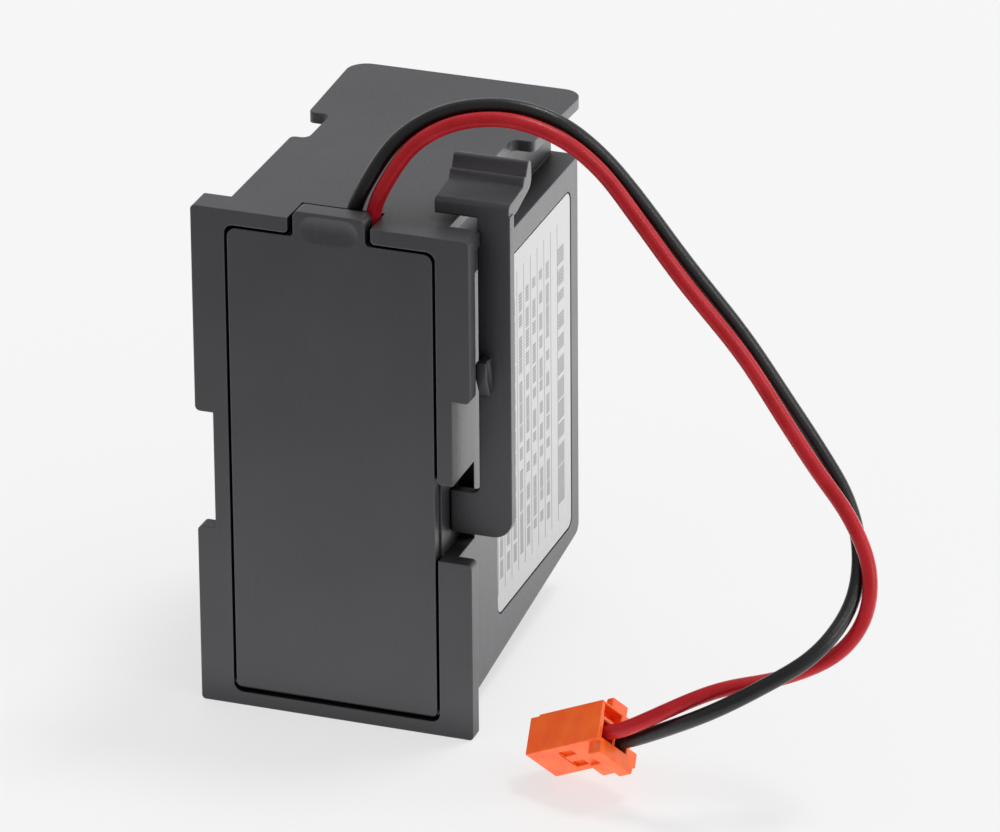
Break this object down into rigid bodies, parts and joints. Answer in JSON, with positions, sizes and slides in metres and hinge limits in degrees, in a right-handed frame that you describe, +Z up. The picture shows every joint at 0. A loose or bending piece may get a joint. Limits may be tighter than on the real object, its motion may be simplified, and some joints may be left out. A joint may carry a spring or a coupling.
{
  "type": "plug-in backup battery unit",
  "caption": "Small plug-in battery case with a hinged front cover, a springy release arm, two upright cells inside and a lead pair ending in a two-way plug.",
  "frame": {"origin": "middle of the flange's foot, on the flange's front face", "axes": "+X to the right seen from the front, +Y from the flange's front face into the case, +Z up"},
  "size_m": [0.0663, 0.047, 0.0624],
  "materials": {
    "charcoal_plastic": "fine moulded texture, satin",
    "label_film": null,
    "shrink_film": "tight shrink sleeve",
    "cell_jacket_film": "thin printed-on jacket, plain",
    "fibre_sheet": "matt fibre board",
    "nickel_strip": "rolled nickel",
    "can_steel": "nickel-plated drawn steel",
    "electrode_roll": "matt wound electrode",
    "seal_plastic": "moulded seal",
    "solder": "bright solder",
    "red_insulation": "smooth PVC",
    "black_insulation": "smooth PVC",
    "copper_strands": "twisted bare copper",
    "orange_plastic": "moulded, slightly waxy",
    "contact_metal": "plated stamped contact"
  },
  "bodies": {
    "case": {"case_body": "charcoal_plastic", "rating_label": "label_film", "pack_sleeve": "shrink_film", "top_insulator": "fibre_sheet", "bottom_insulator": "fibre_sheet", "series_tab": "nickel_strip", "positive_tab": "nickel_strip", "negative_tab": "nickel_strip", "front_cell_can": "can_steel", "front_cell_core": "electrode_roll", "front_cell_lid": "can_steel", "front_cell_gasket": "seal_plastic", "front_cell_terminal": "nickel_strip", "front_cell_jacket": "cell_jacket_film", "rear_cell_can": "can_steel", "rear_cell_core": "electrode_roll", "rear_cell_lid": "can_steel", "rear_cell_gasket": "seal_plastic", "rear_cell_terminal": "nickel_strip", "rear_cell_jacket": "cell_jacket_film", "solder_joints": "solder", "red_lead": "red_insulation", "red_conductor": "copper_strands", "black_lead": "black_insulation", "black_conductor": "copper_strands", "plug_housing": "orange_plastic", "plug_contacts": "contact_metal"},
    "cover": {"front_cover": "charcoal_plastic"},
    "arm": {"latch_arm": "charcoal_plastic"}
  },
  "joints": [
    {"name": "cover_open", "type": "hinge", "parent": "case", "child": "cover", "pos_m": [0, 0.0006, 0.00225], "axis": [1, 0, 0], "range_deg": [0, 90]},
    {"name": "arm_press", "type": "hinge", "parent": "case", "child": "arm", "pos_m": [0.0105, 0.00395, 0.02195], "axis": [-1, 0, 0], "range_deg": [0, 5.5]}
  ]
}
